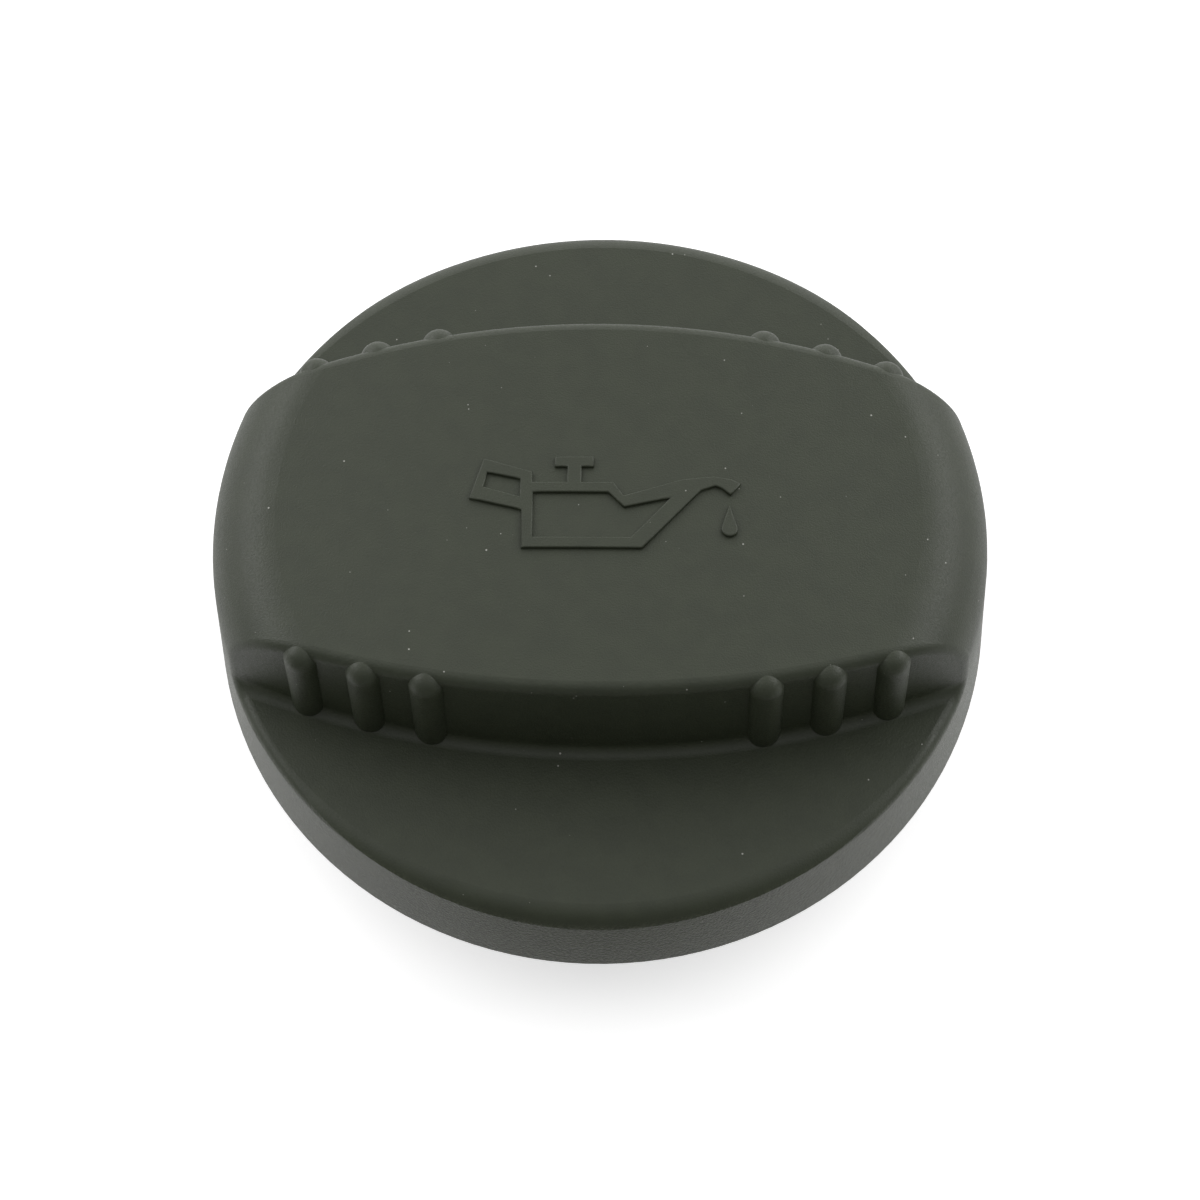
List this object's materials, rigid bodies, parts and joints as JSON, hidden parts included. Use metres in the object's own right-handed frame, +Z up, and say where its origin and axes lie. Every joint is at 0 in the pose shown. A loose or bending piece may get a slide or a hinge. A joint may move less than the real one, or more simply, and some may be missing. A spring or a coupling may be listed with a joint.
{
  "type": "oil filler cap",
  "caption": "Round moulded engine oil filler cap with a full-width finger grip, ribbed grip corners, a hollow bayonet stem and a flat sealing ring.",
  "frame": {"origin": "centre of the sealing ring's lower face, on the cap's axis", "axes": "+Z up through the grip along the cap's axis, +X along the grip, +Y across the grip"},
  "size_m": [0.07, 0.07, 0.0308],
  "materials": {
    "cap_plastic": "matte moulded nylon with a fine spark-eroded grain",
    "seal_rubber": "matte moulded rubber"
  },
  "bodies": {
    "root": {"cap_body": "cap_plastic", "seal_ring": "seal_rubber"}
  },
  "joints": []
}
